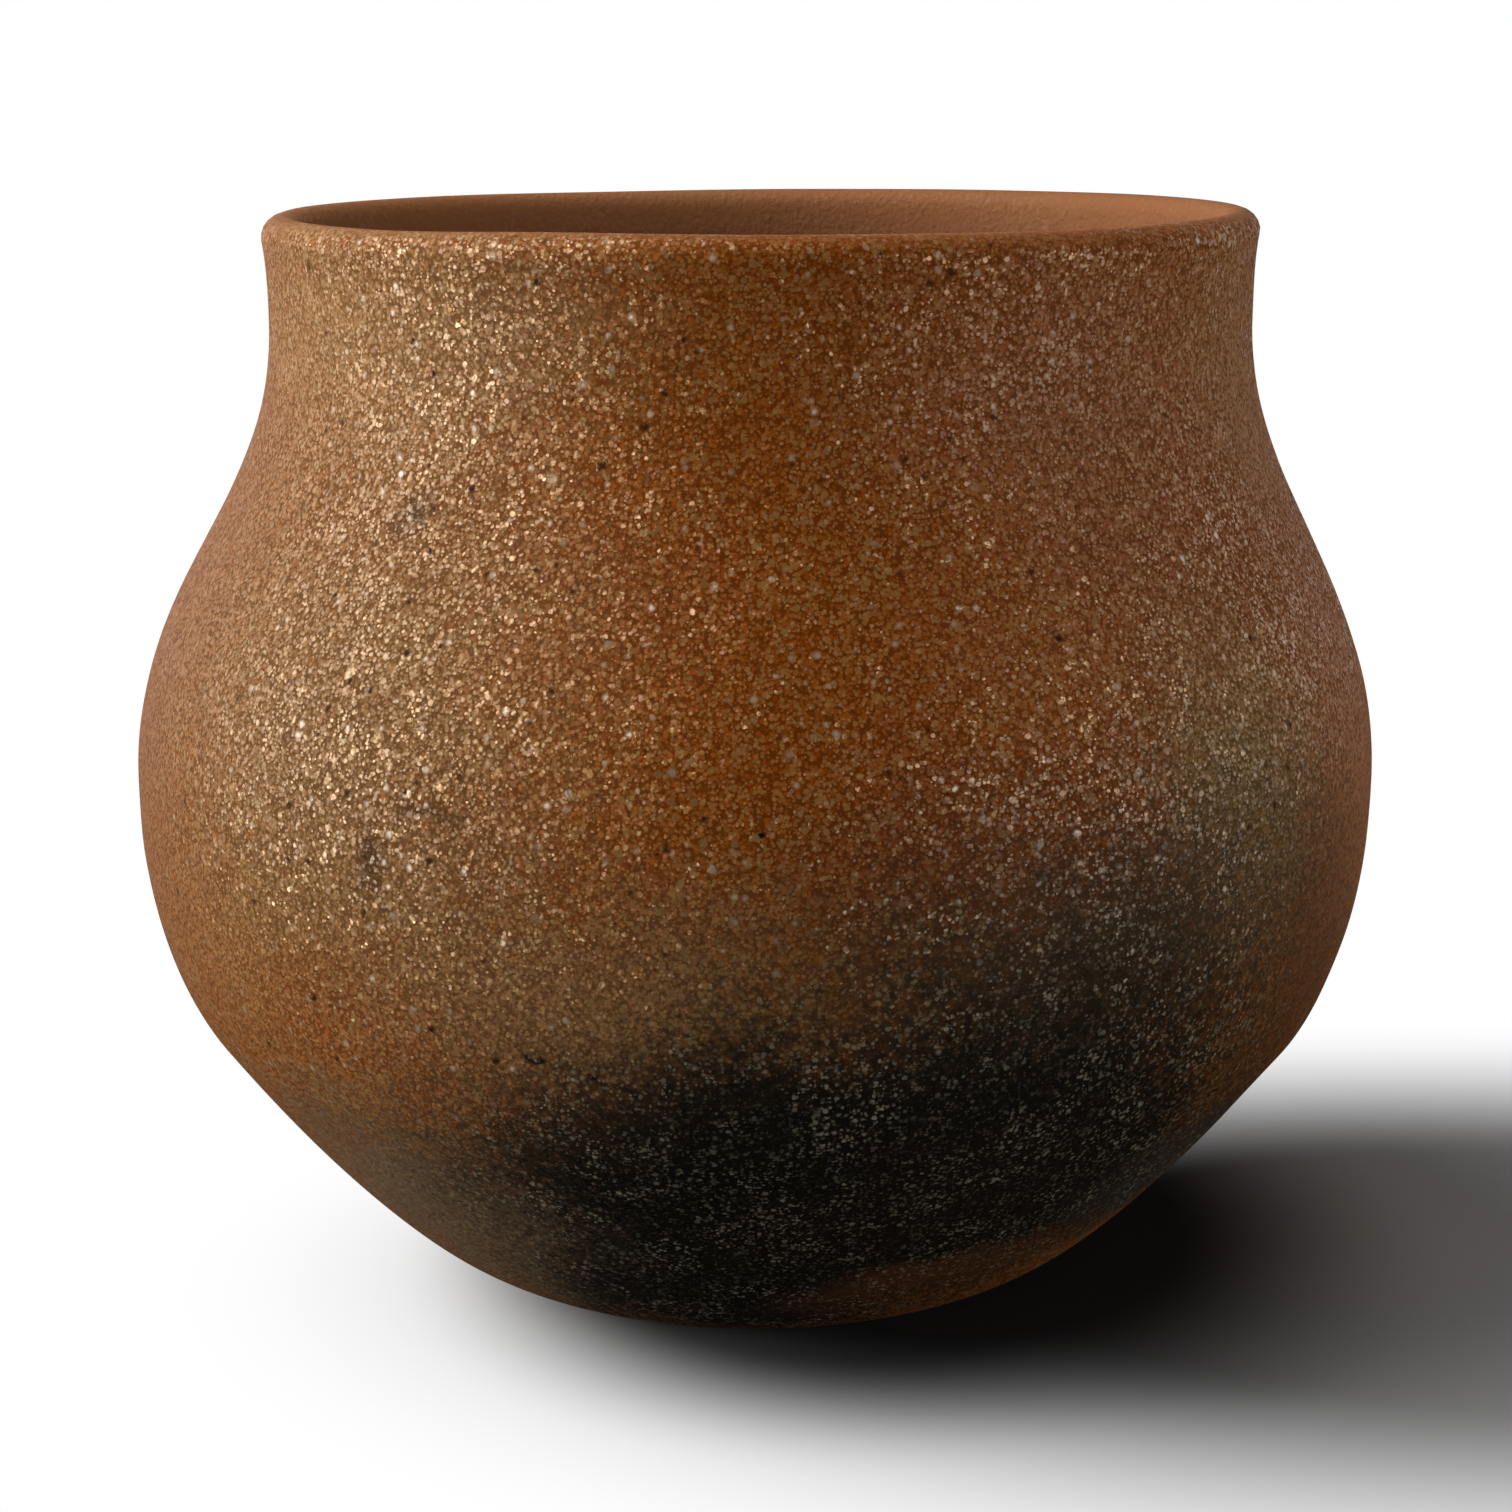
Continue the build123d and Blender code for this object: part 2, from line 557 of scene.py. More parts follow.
@dataclass(frozen=True)
class FireCloud:
    """A patch on the wall, mostly one that the open fire left, where a log lay on the pot or the flame
    licked it; two paler ones on the lit left are painted sheen.

    Attributes:
        azimuth: degrees to the right of the photographed side.
        level, reach: height of its middle, and its distance from the axis.
        around, up: half its width along the wall, and half its height.
        slope: degrees by which its right end is raised.
        soft: width of its edge, as a share of its size.
        colour: sRGB colour.
        strength: how far it covers the clay, 0 to 1.
        soot: how much soot lies on it, 0 to 1.
        rubs: how much of its mica is rubbed off, as a multiple of its strength.
    """

    azimuth: float
    level: float
    reach: float
    around: float
    up: float
    slope: float
    soft: float
    colour: str
    strength: float
    soot: float = 0.0
    rubs: float = 0.0

    def mask(self, tree: Tree, place: Feed, speckle: Feed) -> Feed:
        """Says how much of the cloud lies on each point.

        Args:
            tree: the material's nodes.
            place: the point, with ragged edges already mixed in.
            speckle: noise of the grain's size, which breaks up the edge.

        Returns:
            What gives 0 to the cloud's strength.
        """
        turn = math.radians(self.azimuth)
        middle = (self.reach * MM * math.sin(turn), -self.reach * MM * math.cos(turn), self.level * MM)
        size = (self.around * MM, self.around * MM, self.up * MM)
        local = add_node(tree, "Mapping", {
            "Vector": place, "Location": middle, "Scale": size,
            "Rotation": (0.0, -math.radians(self.slope), turn),
        }, vector_type="TEXTURE")
        length = add_node(tree, "VectorMath", [local], operation="LENGTH")
        broken = add_node(tree, "Math", [speckle, self.soft, length], operation="MULTIPLY_ADD")
        return add_node(tree, "MapRange", {
            "Value": broken, "From Min": 1 + self.soft, "From Max": 1 - self.soft, "To Max": self.strength,
        }, **SMOOTH)


@dataclass(frozen=True)
class MicaLayer:
    """One size of mica flake in the clay.

    Attributes:
        spacing: distance between flakes.
        least, most: radius of the smallest and of the largest flakes.
        share: share of the places that hold a flake at the surface.
        tilt: how far the flakes lie out of the wall's face, as a slope.
        edge: how fast the cover rises inside a flake's rim, per spacing.
        flat: depths inside the rim between which the flat middle starts, in spacings.
    """

    spacing: float
    least: float
    most: float
    share: float
    tilt: float
    edge: float = 6.0
    flat: Span = (0.1, 0.25)

    def flakes(self, tree: Tree, place: Feed) -> tuple[Feed, Feed, Feed, Feed]:
        """Adds the nodes that scatter the flakes.

        Args:
            tree: the material's nodes.
            place: the point, with ragged edges already mixed in.

        Returns:
            Feeds for the cover of flakes, the flat middle of each, its slope and a random number for it.
        """
        cells = add_node(tree, "TexVoronoi", {"Vector": place, "Scale": 1 / (self.spacing * MM)})
        dice = add_node(tree, "TexWhiteNoise", {"Vector": cells.outputs["Position"]})
        channels = add_node(tree, "SeparateColor", {"Color": cells.outputs["Color"]})
        radius = add_node(tree, "MapRange", {
            "Value": channels, "To Min": self.least / self.spacing, "To Max": self.most / self.spacing,
        })
        inside = add_node(tree, "Math", [radius, cells.outputs["Distance"]], operation="SUBTRACT")
        edge = add_node(tree, "Math", [inside, self.edge], operation="MULTIPLY", use_clamp=True)
        held = add_node(tree, "Math", [channels.outputs[1], self.share], operation="LESS_THAN")
        cover = add_node(tree, "Math", [edge, held], operation="MULTIPLY")
        middle = add_node(tree, "MapRange", [inside, *self.flat])
        centred = add_node(tree, "VectorMath", [dice.outputs["Color"], MIDDLE], operation="SUBTRACT")
        slope = add_node(tree, "VectorMath", {0: centred, "Scale": 2 * self.tilt}, operation="SCALE")
        return cover, middle, slope, channels.outputs[2]


@dataclass(frozen=True)
class Shake:
    """Noise that moves a point, so that edges painted with it are ragged.

    Attributes:
        size: size of the raggedness.
        amount: how far the point is moved.
        detail: octaves of the noise.
    """

    size: float
    amount: float
    detail: float

    def moved(self, tree: Tree, place: Feed) -> Feed:
        """Adds the nodes that move a point.

        Args:
            tree: the material's nodes.
            place: the point.

        Returns:
            The moved point.
        """
        noise = add_node(tree, "TexNoise", {
            "Vector": place, "Scale": 1 / (self.size * MM), "Detail": self.detail,
        })
        centred = add_node(tree, "VectorMath", [noise.outputs["Color"], MIDDLE], operation="SUBTRACT")
        step = add_node(tree, "VectorMath", {0: centred, "Scale": 2 * self.amount * MM}, operation="SCALE")
        return add_node(tree, "VectorMath", [place, step], operation="ADD")


@dataclass(frozen=True)
class Blotch:
    """Slow blotches of a second colour of clay.

    Attributes:
        size: size of the blotches.
        low, high: noise at which they start and are full.
        colour: sRGB colour.
    """

    size: float
    low: float
    high: float
    colour: str


@dataclass(frozen=True)
class MicaClay:
    """Micaceous earthenware, hand scraped, rubbed with a stone and fired in the open without glaze.

    The clay is dull and warm. Its mica lies in flat flakes nearly in the wall's face, each at its own small
    tilt, so that single flakes flash gold where they catch a lamp and stay brown elsewhere.

    Attributes:
        clay, blotches, clay_rubbed: colours of scraped clay, its blotches, and the rubbed lip and inside.
        crevice_shade: painted shade in the gaps between grains: the light left there, as a colour.
        flake, plate, pit_shade: colours of mica, its largest flakes, and the painted shade in small holes
            where grit has fallen out.
        ash, ash_brown: colours of flakes that show through thick and through thin soot.
        clay_roughness: how dull the bare clay is.
        flake_roughness, flake_metallic, flake_gloss: how the flakes reflect.
        flake_stain, soot_dulls: how far the clay stains the flakes, and how far soot dulls them.
        lip_rubs: how far rubbing hides the mica of the lip and the inside.
        plate_size: radius above which flakes count as the largest.
        luck_from: random number below which a grain does not shine.
        crowd_size, crowd_noise, crowd_shine: size of places where flakes crowd, noise and shine there.
        speckle_size, speckle_noise, speckle_reach: noise that breaks up clouds' edges, and how far.
        inside_from, inside_push: rubbing where clouds start to end, and how far they keep off the inside.
        ash_power, ash_soot, ash_cover: how sharply, from how much soot and how far flakes show through it.
        ash_grey_from: soot from which they turn from brown to grey.
        grain_size, grain_depth: size and depth of the clay's relief.
        flake_shake, pit_shake, cloud_shakes: raggedness of flakes, pits and clouds.
        pits: how the small holes are scattered.
        tints: patches of the clay under its mica, some of them rubbed; the first is rubbed clay also
            painted paler as sheen where the lamps graze the far left, and the third is painted sheen on the
            lit left of the neck.
        clouds: smoke and soot over the mica, then stains, and single pits painted as dark dots of shade.
        layers: sizes of mica flake, from the finest grain up.
    """

    clay: str = "#924c12"
    blotches: tuple[Blotch, ...] = (Blotch(45.0, 0.42, 0.68, "#96561c"), Blotch(30.0, 0.5, 0.7, "#8e4a20"))
    clay_rubbed: str = "#9b6642"
    crevice_shade: str = "#c8c4c0"
    flake: str = "#b48a4a"
    plate: str = "#d9ccb2"
    pit_shade: str = "#3a210d"
    ash: str = "#a0967c"
    ash_brown: str = "#94744a"
    clay_roughness: float = 0.9
    flake_roughness: float = 0.33
    flake_metallic: float = 0.42
    flake_gloss: float = 1.0
    flake_stain: float = 0.4
    soot_dulls: float = 0.6
    lip_rubs: float = 0.85
    plate_size: float = 0.7
    luck_from: float = 0.05
    crowd_size: float = 7.0
    crowd_noise: Span = (0.36, 0.6)
    crowd_shine: Span = (0.62, 1.05)
    speckle_size: float = 1.6
    speckle_noise: Span = (0.3, 0.7)
    speckle_reach: Span = (-0.3, 0.3)
    inside_from: float = 0.7
    inside_push: float = 5.0
    ash_power: float = 3.5
    ash_soot: float = 0.45
    ash_cover: float = 0.52
    ash_grey_from: float = 0.4
    grain_size: float = 1.0
    grain_depth: float = 0.22
    flake_shake: Shake = Shake(0.9, 0.3, 3.0)
    pit_shake: Shake = Shake(0.9, 0.6, 3.0)
    cloud_shakes: tuple[Shake, ...] = (Shake(22.0, 8.0, 3.0), Shake(4.0, 1.8, 2.0))
    pits: MicaLayer = MicaLayer(3.0, 0.34, 0.82, 0.4, 0.0)
    tints: tuple[FireCloud, ...] = (
        # Rubbed clay at the far left, also painted paler as the sheen where the lamps graze it.
        FireCloud(-80, 112, 92, 42, 66, 0, 0.7, "#846450", 0.7, rubs=1.1),
        FireCloud(-38, 104, 94, 36, 56, 0, 0.8, "#826846", 0.65),
        # Painted sheen: a paler patch on the lit left of the neck.
        FireCloud(-46, 158, 78, 36, 16, 0, 0.8, "#a68458", 0.5),
        FireCloud(-29, 57, 97, 27, 12, -6, 0.8, "#904410", 0.75),
        FireCloud(5, 118, 90, 24, 56, 0, 0.7, "#844006", 0.7),
        FireCloud(50, 122, 90, 40, 44, 0, 0.7, "#905a40", 0.5),
        FireCloud(46, 92, 98, 17, 22, 0, 0.8, "#8a764c", 0.6),
        FireCloud(66, 148, 78, 14, 18, 0, 0.8, "#8b6833", 0.6),
        FireCloud(72, 82, 100, 26, 34, 0, 0.7, "#a87658", 0.65, rubs=1.0),
        FireCloud(72, 146, 80, 20, 32, 0, 0.7, "#a67656", 0.6, rubs=1.3),
        FireCloud(36, 150, 80, 28, 18, 0, 0.8, "#96603e", 0.5, rubs=0.9),
        FireCloud(-14, 65, 98, 32, 16, 8, 0.8, "#866a48", 0.6),
        FireCloud(148, 120, 92, 34, 26, 0, 0.8, "#80683a", 0.5),
        FireCloud(-142, 92, 100, 38, 32, 0, 0.8, "#905a40", 0.5),
    )
    clouds: tuple[FireCloud, ...] = (
        FireCloud(28, 68, 97, 44, 23, 8, 0.75, "#383024", 0.9, 0.6),
        FireCloud(58, 56, 95, 20, 24, 0, 0.8, "#46301c", 0.6, 0.3),
        FireCloud(-32, 20, 76, 38, 24, -4, 0.55, "#72614a", 0.8, 0.5),
        FireCloud(-9, 44, 92, 27, 17, 10, 0.6, "#382c20", 0.85, 0.7),
        FireCloud(14, 34, 84, 60, 34, 6, 0.4, "#15130e", 0.98, 1.0),
        FireCloud(-6, 12, 62, 26, 14, 0, 0.5, "#1a1611", 0.95, 1.0),
        FireCloud(55, 27, 78, 20, 16, 0, 0.5, "#2e2a24", 0.85, 0.6),
        FireCloud(23, 14, 67, 18, 5, 12, 0.6, "#50301a", 0.9, 0.2),
        FireCloud(176, 58, 96, 46, 28, 6, 0.7, "#35291d", 0.8, 0.6),
        FireCloud(-116, 34, 85, 34, 18, 4, 0.7, "#5a4630", 0.6, 0.4),
        FireCloud(-36.2, 131.3, 83, 3.2, 2.4, 20, 0.7, "#4a341e", 0.6, 0.2),
        FireCloud(-26.8, 90.6, 99.4, 4.5, 1.8, 15, 0.7, "#4a3018", 0.6, 0.2),
        FireCloud(-32.5, 83.9, 100, 2.6, 3.4, 0, 0.7, "#3a2614", 0.65, 0.2),
        # Single pits: their shade is painted as near-black dots.
        FireCloud(0.0, 93.6, 99, 0.7, 0.7, 0, 0.4, "#0c0806", 1.0, 1.0),
        FireCloud(-17.8, 59.8, 97.4, 1.2, 0.8, 0, 0.5, "#140d08", 0.9, 1.0),
        FireCloud(-13.2, 58.1, 97, 0.9, 0.9, 0, 0.5, "#140d08", 0.9, 1.0),
    )
    layers: tuple[MicaLayer, ...] = (
        MicaLayer(0.55, 0.26, 0.5, 1.0, 0.25),
        MicaLayer(1.4, 0.36, 0.64, 0.5, 0.24),
        MicaLayer(2.8, 0.4, 0.78, 0.65, 0.22),
        MicaLayer(7.0, 0.65, 1.15, 0.5, 0.18),
    )

    def material(self) -> bpy.types.Material:
        """Builds the material.

        Returns:
            The material, painted in the pot's own frame so that it runs on across the pieces.
        """
        material = bpy.data.materials.new("mica_clay_scraped_fired")
        material.use_nodes = True
        tree = material.node_tree
        tree.nodes.clear()
        place = add_node(tree, "TexCoord").outputs["Object"]
        rubbed = add_node(tree, "Attribute", attribute_name=RUBBED).outputs["Fac"]
        clay, worn, drift, speckle = self.ground(tree, place, rubbed)
        grain, bright, plates, slope = self.mica(tree, place)
        grain = add_node(tree, "Math", [grain, rubbed], operation="MAXIMUM")
        smooth = add_node(tree, "Math", [
            rubbed, self.lip_rubs, worn,
        ], operation="MULTIPLY_ADD", use_clamp=True)
        scraped = add_node(tree, "Math", [1.0, smooth], operation="SUBTRACT")
        holes = self.pits.flakes(tree, self.pit_shake.moved(tree, place))[0]
        pits = add_node(tree, "Math", [holes, scraped], operation="MULTIPLY")
        whole = add_node(tree, "Math", [1.0, pits], operation="SUBTRACT")
        shows = add_node(tree, "Math", [scraped, whole], operation="MULTIPLY")
        mica = add_node(tree, "Math", [bright, shows], operation="MULTIPLY")
        plates = add_node(tree, "Math", [plates, shows], operation="MULTIPLY")
        colour, soot = self.painted(tree, clay, drift, speckle, grain, mica, plates, pits)
        relief = self.relief(tree, place)
        lean = add_node(tree, "Math", [grain, scraped], operation="MULTIPLY")
        leaned = add_node(tree, "VectorMath", {0: slope, "Scale": lean}, operation="SCALE")
        added = add_node(tree, "VectorMath", [relief, leaned], operation="ADD")
        normal = add_node(tree, "VectorMath", [added], operation="NORMALIZE")
        clean = add_node(tree, "Math", [soot, -self.soot_dulls, 1.0], operation="MULTIPLY_ADD")
        shine = add_node(tree, "Math", [mica, clean], operation="MULTIPLY")
        rough = add_node(tree, "MapRange", {
            "Value": shine, "To Min": self.clay_roughness, "To Max": self.flake_roughness,
        })
        metal = add_node(tree, "Math", [shine, self.flake_metallic], operation="MULTIPLY")
        gloss = add_node(tree, "Math", [shine, self.flake_gloss], operation="MULTIPLY")
        glassy = add_node(tree, "Math", [plates, clean], operation="MULTIPLY")
        coat = add_node(tree, "Math", [gloss, glassy], operation="MAXIMUM")
        shader = add_node(tree, "BsdfPrincipled", {
            "Base Color": colour, "Roughness": rough, "Metallic": metal,
            "Normal": normal, "IOR": 1.5, "Specular IOR Level": 0.05,
            "Coat Weight": coat, "Coat Roughness": self.flake_roughness, "Coat IOR": 1.6,
            "Coat Normal": normal,
        })
        add_node(tree, "OutputMaterial", {"Surface": shader})
        return material

    def mica(self, tree: Tree, place: Feed) -> tuple[Feed, Feed, Feed, Feed]:
        """Lays the sizes of flake over each other, the larger on top.

        Args:
            tree: the material's nodes.
            place: the point.

        Returns:
            Feeds for the clay's grains, the bright flakes, the largest of these and the grains' slopes.
        """
        shaken = self.flake_shake.moved(tree, place)
        grain, middle, slope, luck = self.layers[0].flakes(tree, shaken)
        lucky = add_node(tree, "MapRange", [luck, self.luck_from, 1.0], **SMOOTH)
        crowd = add_node(tree, "TexNoise", {
            "Vector": place, "Scale": 1 / (self.crowd_size * MM), "Detail": 2.0,
        })
        crowded = add_node(tree, "MapRange", [crowd, *self.crowd_noise, *self.crowd_shine])
        bright = add_node(tree, "Math", [middle, lucky], operation="MULTIPLY")
        plates: Any = 0.0
        for layer in self.layers[1:]:
            over, _, lean, _ = layer.flakes(tree, shaken)
            if layer.most > self.plate_size:
                plates = add_node(tree, "Math", [plates, over], operation="MAXIMUM")
            slope = add_node(tree, "Mix", {0: over, 4: slope, 5: lean}, data_type="VECTOR")
            grain = add_node(tree, "Math", [grain, over], operation="MAXIMUM")
            bright = add_node(tree, "Math", [bright, over], operation="MAXIMUM")
        bright = add_node(tree, "Math", [bright, crowded], operation="MULTIPLY")
        return grain, bright, plates, slope

    def ground(self, tree: Tree, place: Feed, rubbed: Feed) -> tuple[Feed, Feed, Feed, Feed]:
        """Paints the bare clay with its blotches and tints.

        Args:
            tree: the material's nodes.
            place: the point.
            rubbed: 1 where the clay is rubbed smooth, on the lip and inside.

        Returns:
            Feeds for the colour, the share of mica rubbed off, and the clouds' ragged place and speckle.
        """
        clay: Any = linear(self.clay)
        for blotch in self.blotches:
            noise = add_node(tree, "TexNoise", {
                "Vector": place, "Scale": 1 / (blotch.size * MM), "Detail": 3.0, "Lacunarity": 2.3,
            })
            patch = add_node(tree, "MapRange", [noise, blotch.low, blotch.high], **SMOOTH)
            clay = add_node(tree, "Mix", {0: patch, 6: clay, 7: linear(blotch.colour)}, **COLOURS)
        clay = add_node(tree, "Mix", {0: rubbed, 6: clay, 7: linear(self.clay_rubbed)}, **COLOURS)
        drift = place
        for shake in self.cloud_shakes:
            drift = shake.moved(tree, drift)
        noise = add_node(tree, "TexNoise", {
            "Vector": place, "Scale": 1 / (self.speckle_size * MM), "Detail": 3.0,
        })
        speckle = add_node(tree, "MapRange", [noise, *self.speckle_noise, *self.speckle_reach])
        inside = add_node(tree, "MapRange", {
            "Value": rubbed, "From Min": self.inside_from, "From Max": 1.0, "To Max": self.inside_push,
        })
        speckle = add_node(tree, "Math", [speckle, inside], operation="ADD")
        worn: Any = 0.0
        for tint in self.tints:
            mask = tint.mask(tree, drift, speckle)
            clay = add_node(tree, "Mix", {0: mask, 6: clay, 7: linear(tint.colour)}, **COLOURS)
            worn = add_node(tree, "Math", [mask, tint.rubs, worn], operation="MULTIPLY_ADD", use_clamp=True)
        return clay, worn, drift, speckle

    def painted(
        self, tree: Tree, clay: Feed, drift: Feed, speckle: Feed,
        grain: Feed, mica: Feed, plates: Feed, pits: Feed,
    ) -> tuple[Feed, Feed]:
        """Paints the flakes on the clay, painted shade in the gaps between grains and in the pits, and the
        fire clouds over them.

        Args:
            tree: the material's nodes.
            clay: colour of the bare clay.
            drift: the point, with ragged edges mixed in.
            speckle: noise that breaks up the edges of clouds.
            grain: 1 on the clay's grains and 0 in the gaps between them.
            mica: how much of a bright flake shows.
            plates: 1 on the largest flakes.
            pits: 1 in the small holes where grit has fallen out.

        Returns:
            Feeds for the colour and for the soot on it.
        """
        # Painted shade: the clay darkens in the gaps between grains.
        gap_shade = add_node(tree, "Mix", {
            0: 1.0, 6: clay, 7: linear(self.crevice_shade),
        }, **COLOURS, blend_type="MULTIPLY")
        flake = add_node(tree, "Mix", {0: plates, 6: linear(self.flake), 7: linear(self.plate)}, **COLOURS)
        flake = add_node(tree, "Mix", {0: self.flake_stain, 6: flake, 7: clay}, **COLOURS)
        clay = add_node(tree, "Mix", {0: grain, 6: gap_shade, 7: clay}, **COLOURS)
        clay = add_node(tree, "Mix", {0: mica, 6: clay, 7: flake}, **COLOURS)
        # Painted shade: the small holes where grit has fallen out are painted dark.
        clay = add_node(tree, "Mix", {0: pits, 6: clay, 7: linear(self.pit_shade)}, **COLOURS)
        soot: Any = 0.0
        for cloud in self.clouds:
            mask = cloud.mask(tree, drift, speckle)
            clay = add_node(tree, "Mix", {0: mask, 6: clay, 7: linear(cloud.colour)}, **COLOURS)
            soot = add_node(tree, "Math", [
                mask, cloud.soot, soot,
            ], operation="MULTIPLY_ADD", use_clamp=True)
        strong = add_node(tree, "Math", [mica, self.ash_power], operation="POWER")
        smoked = add_node(tree, "MapRange", {
            "Value": soot, "From Max": self.ash_soot, "To Max": self.ash_cover,
        })
        shown = add_node(tree, "Math", [strong, smoked], operation="MULTIPLY")
        sooty = add_node(tree, "MapRange", [soot, self.ash_grey_from, 1.0])
        dust = add_node(tree, "Mix", {0: sooty, 6: linear(self.ash_brown), 7: linear(self.ash)}, **COLOURS)
        clay = add_node(tree, "Mix", {0: shown, 6: clay, 7: dust}, **COLOURS)
        return clay, soot

    def relief(self, tree: Tree, place: Feed) -> Feed:
        """Raises the grain of the clay.

        Args:
            tree: the material's nodes.
            place: the point.

        Returns:
            The normal.
        """
        grain = add_node(tree, "TexNoise", {
            "Vector": place, "Scale": 1 / (self.grain_size * MM), "Detail": 2.0,
        })
        return add_node(tree, "Bump", {"Height": grain, "Distance": self.grain_depth * MM, "Strength": 1.0})


class Side(Enum):
    """Where a softbox stands, seen from the camera."""

    LEFT = -1
    RIGHT = 1


@dataclass(frozen=True)
class Softbox:
    """A soft lamp.

    Attributes:
        side: which side of the camera it stands on.
        azimuth: degrees from the camera's direction.
        elevation: degrees above the floor.
        distance: distance from the pot in metres.
        width, height: its size in metres.
        level: light on a surface that faces it, where 1 shows a colour as it is written.
        colour: sRGB colour.
        aim: height that it faces, in metres.
    """

    side: Side
    azimuth: float
    elevation: float
    distance: float
    width: float
    height: float
    level: float
    colour: str = "#ffffff"
    aim: float = 0.08

    def build(self) -> None:
        """Builds the lamp, facing the pot."""
        name = f"softbox_{self.side.name.lower()}"
        lamp = bpy.data.lights.new(name, "AREA")
        lamp.shape = "RECTANGLE"
        lamp.size = self.width
        lamp.size_y = self.height
        lamp.energy = self.level * (math.pi * self.distance) ** 2
        lamp.color = linear(self.colour)[:3]
        box = bpy.data.objects.new(name, lamp)
        turn, rise = math.radians(self.azimuth) * self.side.value, math.radians(self.elevation)
        flat = self.distance * math.cos(rise)
        level = self.aim + self.distance * math.sin(rise)
        box.location = (flat * math.sin(turn), -flat * math.cos(turn), level)
        box.rotation_euler = (math.pi / 2 - rise, 0.0, turn)
        bpy.context.scene.collection.objects.link(box)


@dataclass(frozen=True)
class ShadowZone:
    """A patch of the floor where the pot's shadow shows, before the floor fades to plain white, or where
    the paper's painted contact shadow lies.

    Attributes:
        middle, size: its middle and its half sizes, in metres.
        fades_from, fades_to: where it starts to fade and has faded, as shares of its size.
    """

    middle: tuple[float, float, float]
    size: tuple[float, float, float]
    fades_from: float
    fades_to: float

    def outside(self, tree: Tree, place: Feed) -> Feed:
        """Says how far outside the patch each point is.

        Args:
            tree: the floor's nodes.
            place: the point.

        Returns:
            What gives 0 in the patch and 1 outside it.
        """
        local = add_node(tree, "Mapping", {
            "Vector": place, "Location": self.middle, "Scale": self.size,
        }, vector_type="TEXTURE")
        length = add_node(tree, "VectorMath", [local], operation="LENGTH")
        return add_node(tree, "MapRange", [length, self.fades_from, self.fades_to], **SMOOTH)


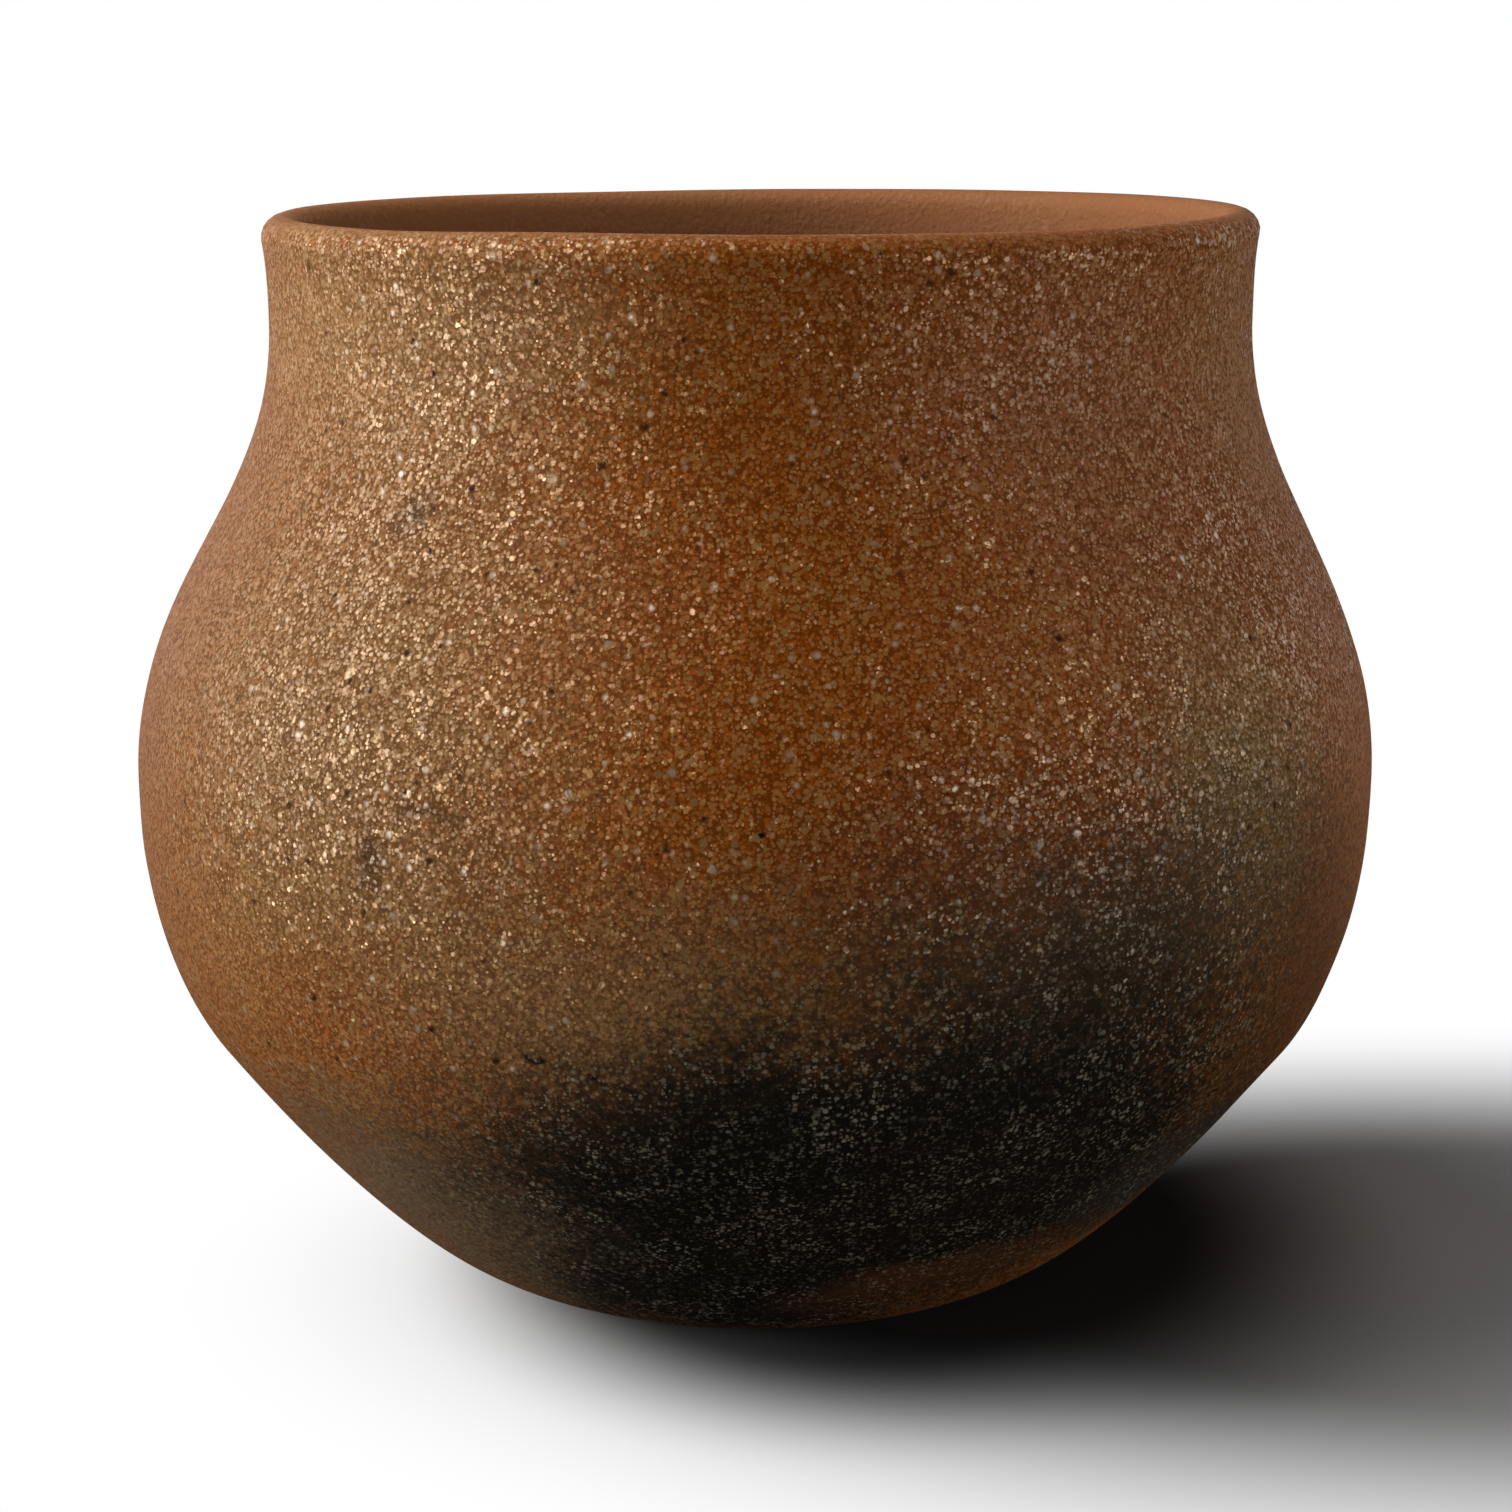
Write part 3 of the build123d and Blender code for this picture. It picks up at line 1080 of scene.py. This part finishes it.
@dataclass(frozen=True)
class PaperCove:
    """Matt white paper that lies under the pot and curves up into a backdrop all round.

    It keeps the pot's shadow close to the pot, and fades to plain white away from it. Round the foot its
    tone to the camera is darkened, a painted contact shadow.

    Attributes:
        zones: where the shadow shows.
        painted_contact_shadow: where the paper's tone is darkened round the foot, a painted shadow.
        seen: sRGB tone of the paper to the camera.
        seen_painted_shadow: its tone to the camera round the foot, a painted contact shadow.
        bounce: its tone to light that bounces from it.
        behind: distances behind the pot between which reflections start to see the white, in metres.
        hub, reach: radius of its flat middle, and radius at which it starts to curve up, in metres.
        bend, wall: radius of the curve and height of the backdrop, in metres.
        steps, columns: number of rings in the curve and of points around.
    """

    zones: tuple[ShadowZone, ...] = (
        ShadowZone((0.015, -0.01, 0.0), (0.08, 0.095, 1.0), 0.5, 0.95),
        ShadowZone((0.13, -0.02, 0.0), (0.25, 0.15, 1.0), 0.36, 0.92),
    )
    painted_contact_shadow: ShadowZone = ShadowZone((0.03, 0.0, 0.0), (0.08, 0.095, 1.0), 0.5, 1.1)
    seen: str = "#bababa"
    seen_painted_shadow: str = "#303030"
    bounce: str = "#585858"
    behind: Span = (0.3, 1.5)
    hub: float = 0.5
    reach: float = 3.0
    bend: float = 1.0
    wall: float = 2.5
    steps: int = 12
    columns: int = 64

    def build(self) -> None:
        """Builds the paper, and keeps it out of the part."""
        curve = np.linspace(0.0, math.pi / 2, self.steps)
        rings = zip(self.reach + self.bend * np.sin(curve), self.bend - self.bend * np.cos(curve))
        side = [(self.hub, 0.0), *rings, (self.reach + self.bend, self.wall)]
        turns = np.arange(self.columns) * 2 * math.pi / self.columns
        points = [(r * math.cos(turn), r * math.sin(turn), z) for r, z in side for turn in turns]
        grid = np.arange(len(points)).reshape(len(side), self.columns)
        beside = np.roll(grid, -1, axis=1)
        faces = np.stack([grid[:-1], grid[1:], beside[1:], beside[:-1]], axis=-1).reshape(-1, 4).tolist()
        faces.append(grid[0].tolist())
        mesh = bpy.data.meshes.new("floor_sweep")
        mesh.from_pydata(points, [], faces)
        mesh.polygons.foreach_set("use_smooth", [True] * len(faces))
        mesh.materials.append(self.finish())
        floor = bpy.data.objects.new("floor_sweep", mesh)
        bpy.context.scene.collection.objects.link(floor)

    def finish(self) -> bpy.types.Material:
        """Makes the paper's material, which has no shine at all.

        Returns:
            The material.
        """
        material = bpy.data.materials.new("matt_white_paper")
        material.use_nodes = True
        tree = material.node_tree
        tree.nodes.clear()
        place = add_node(tree, "TexCoord").outputs["Object"]
        far: Any = 1.0
        for zone in self.zones:
            outside = zone.outside(tree, place)
            far = add_node(tree, "Math", [far, outside], operation="MULTIPLY")
        across = add_node(tree, "SeparateXYZ", [place])
        behind = add_node(tree, "MapRange", [across.outputs["Y"], *self.behind], **SMOOTH)
        ray = add_node(tree, "LightPath")
        mirrored = add_node(tree, "Math", [
            ray.outputs["Is Glossy Ray"], ray.outputs["Is Transmission Ray"],
        ], operation="MAXIMUM")
        mirrored = add_node(tree, "Math", [mirrored, behind], operation="MULTIPLY")
        seen = add_node(tree, "Math", [ray.outputs["Is Camera Ray"], mirrored], operation="MAXIMUM")
        share = add_node(tree, "Math", [far, seen], operation="MULTIPLY")
        # Painted contact shadow: the paper's tone to the camera darkens round the foot.
        tone_with_painted_shadow = add_node(tree, "Mix", {
            0: self.painted_contact_shadow.outside(tree, place), 6: linear(self.seen_painted_shadow), 7: linear(self.seen),
        }, **COLOURS)
        tone = add_node(tree, "Mix", {0: seen, 6: linear(self.bounce), 7: tone_with_painted_shadow}, **COLOURS)
        paper = add_node(tree, "BsdfDiffuse", {"Color": tone})
        white = add_node(tree, "Emission", {"Color": (1.0, 1.0, 1.0, 1.0), "Strength": 1.0})
        both = add_node(tree, "MixShader", [share, paper, white])
        add_node(tree, "OutputMaterial", {"Surface": both})
        return material


@dataclass
class Studio:
    """Camera, floor and lamps.

    Attributes:
        camera_distance, camera_level: place of the camera in front of the axis and its height.
        camera_pitch: degrees by which it looks down.
        focal_pixels, frame_pixels: focal length and width of the photograph's frame, in its pixels.
        boxes: the lamps.
        floor: the paper under and round the pot.
        air, surround: sRGB colour and strength of the light from all round.
    """

    camera_distance: float = 520.0
    camera_level: float = 196.1
    camera_pitch: float = 12.41
    focal_pixels: float = 3228.0
    frame_pixels: float = 1512.0
    boxes: tuple[Softbox, ...] = (
        Softbox(Side.LEFT, 90, 55, 1.1, 0.9, 0.8, 0.8),
        Softbox(Side.LEFT, 92, 25, 1.2, 0.5, 0.7, 0.42),
        Softbox(Side.LEFT, 84, 2, 1.3, 0.5, 0.25, 0.4),
        Softbox(Side.LEFT, 50, 2, 1.3, 0.5, 0.25, 0.19),
        Softbox(Side.RIGHT, 60, 6, 1.3, 1.3, 0.45, 0.46),
        Softbox(Side.RIGHT, 0, 86, 1.3, 1.0, 1.0, 0.08),
    )
    floor: PaperCove = PaperCove()
    air: str = "#f4f4f6"
    surround: float = 0.02

    def build(self) -> None:
        """Builds everything that stands round the pot."""
        self.build_camera()
        self.floor.build()
        for box in self.boxes:
            box.build()
        world = bpy.data.worlds.new("studio_air")
        world.use_nodes = True
        background = world.node_tree.nodes["Background"]
        background.inputs["Color"].default_value = linear(self.air)
        background.inputs["Strength"].default_value = self.surround
        bpy.context.scene.world = world
        bpy.context.scene.view_settings.view_transform = "Standard"

    def build_camera(self) -> None:
        """Sets the camera where the photograph was taken from."""
        lens = bpy.data.cameras.new("camera")
        lens.sensor_width = 36.0
        lens.lens = lens.sensor_width * self.focal_pixels / self.frame_pixels
        lens.clip_start = 0.01
        camera = bpy.data.objects.new("camera", lens)
        camera.location = (0.0, -self.camera_distance * MM, self.camera_level * MM)
        camera.rotation_euler = (math.radians(90 - self.camera_pitch), 0.0, 0.0)
        bpy.context.scene.collection.objects.link(camera)
        bpy.context.scene.camera = camera


def main() -> None:
    """Builds the pot and the studio, and reports each piece."""
    logging.basicConfig(level=logging.INFO, format="%(message)s")
    pieces = OllaWall(ClaySkin(PotProfile()), MicaClay().material()).build()
    Studio().build()
    LOG.info("%d pieces of clay", len(pieces))


if __name__ == "__main__":
    main()
